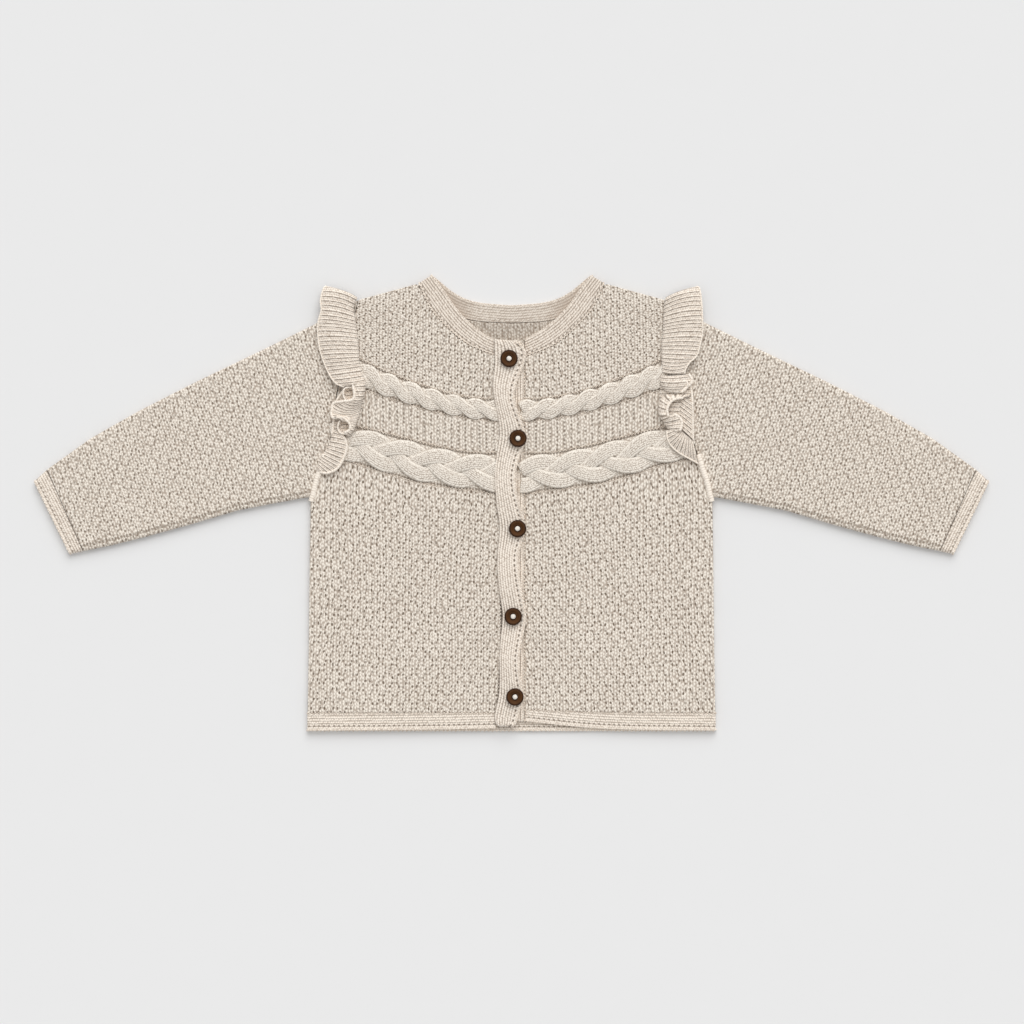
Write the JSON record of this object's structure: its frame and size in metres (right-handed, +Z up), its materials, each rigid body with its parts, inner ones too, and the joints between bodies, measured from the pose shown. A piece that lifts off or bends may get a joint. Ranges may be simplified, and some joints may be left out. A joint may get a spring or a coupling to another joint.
{
  "type": "baby cardigan",
  "caption": "Long-sleeved knitted baby cardigan laid flat and buttoned, with a ribbed neckband, raised cable bands across the chest and gathered shoulder frills.",
  "frame": {"origin": "middle of the underside, on the surface that the back lies on", "axes": "+X to the wearer's left cuff, +Y to the neck, +Z up from the surface, out of the fronts"},
  "size_m": [0.631, 0.3012, 0.0097],
  "materials": {
    "knit": "matt oatmeal cotton knit in small bubbles with eyelets",
    "rib": "matt oatmeal fine ribbed knit",
    "button": "turned dark brown coconut shell, satin",
    "thread": "cream cotton sewing thread"
  },
  "bodies": {
    "root": {"back_panel": "knit", "back_hem": "rib", "back_neckband": "rib", "right_front": "knit", "right_front_hem": "rib", "right_neckband": "rib", "right_sleeve": "knit", "right_cuff": "rib", "right_frill": "rib", "left_front": "knit", "left_front_hem": "rib", "left_neckband": "rib", "left_sleeve": "knit", "left_cuff": "rib", "left_frill": "rib", "button_band": "rib", "buttonhole_band": "rib", "button_1": "button", "button_2": "button", "button_3": "button", "button_4": "button", "button_5": "button"}
  },
  "joints": []
}
